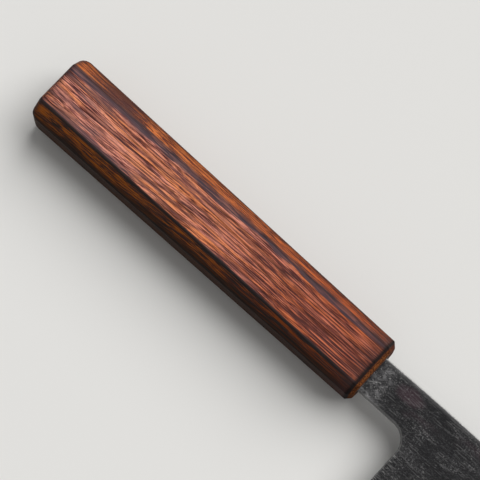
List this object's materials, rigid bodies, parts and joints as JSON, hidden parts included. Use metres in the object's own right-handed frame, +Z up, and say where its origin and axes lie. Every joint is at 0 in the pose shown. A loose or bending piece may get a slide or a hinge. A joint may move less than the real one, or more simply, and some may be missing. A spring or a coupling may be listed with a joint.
{
  "type": "santoku knife",
  "caption": "Santoku kitchen knife: laminated blade with a dark forged face, ground bevel and straight heel, on a tapered one-piece octagonal wood handle.",
  "frame": {"origin": "under the middle of the knife's box, on the surface that the knife lies on with its left face down", "axes": "+X from the butt to the tip along the handle's axis, +Y from the cutting edge to the spine, +Z up through the right face"},
  "size_m": [0.3178, 0.053, 0.02],
  "materials": {
    "core_steel": "fine ground, bright at the edge",
    "cladding": "dark forge scale with fine lengthwise hairlines, satin on the ground bevel",
    "handle_wood": "scorched open-grain wood, satin lacquer, dark arrises",
    "adhesive": "cured resin",
    "seal": "dark stopping compound"
  },
  "bodies": {
    "root": {"core_steel": "core_steel", "right_cladding": "cladding", "left_cladding": "cladding", "handle_body": "handle_wood", "tang_adhesive": "adhesive", "mouth_seal": "seal"}
  },
  "joints": []
}
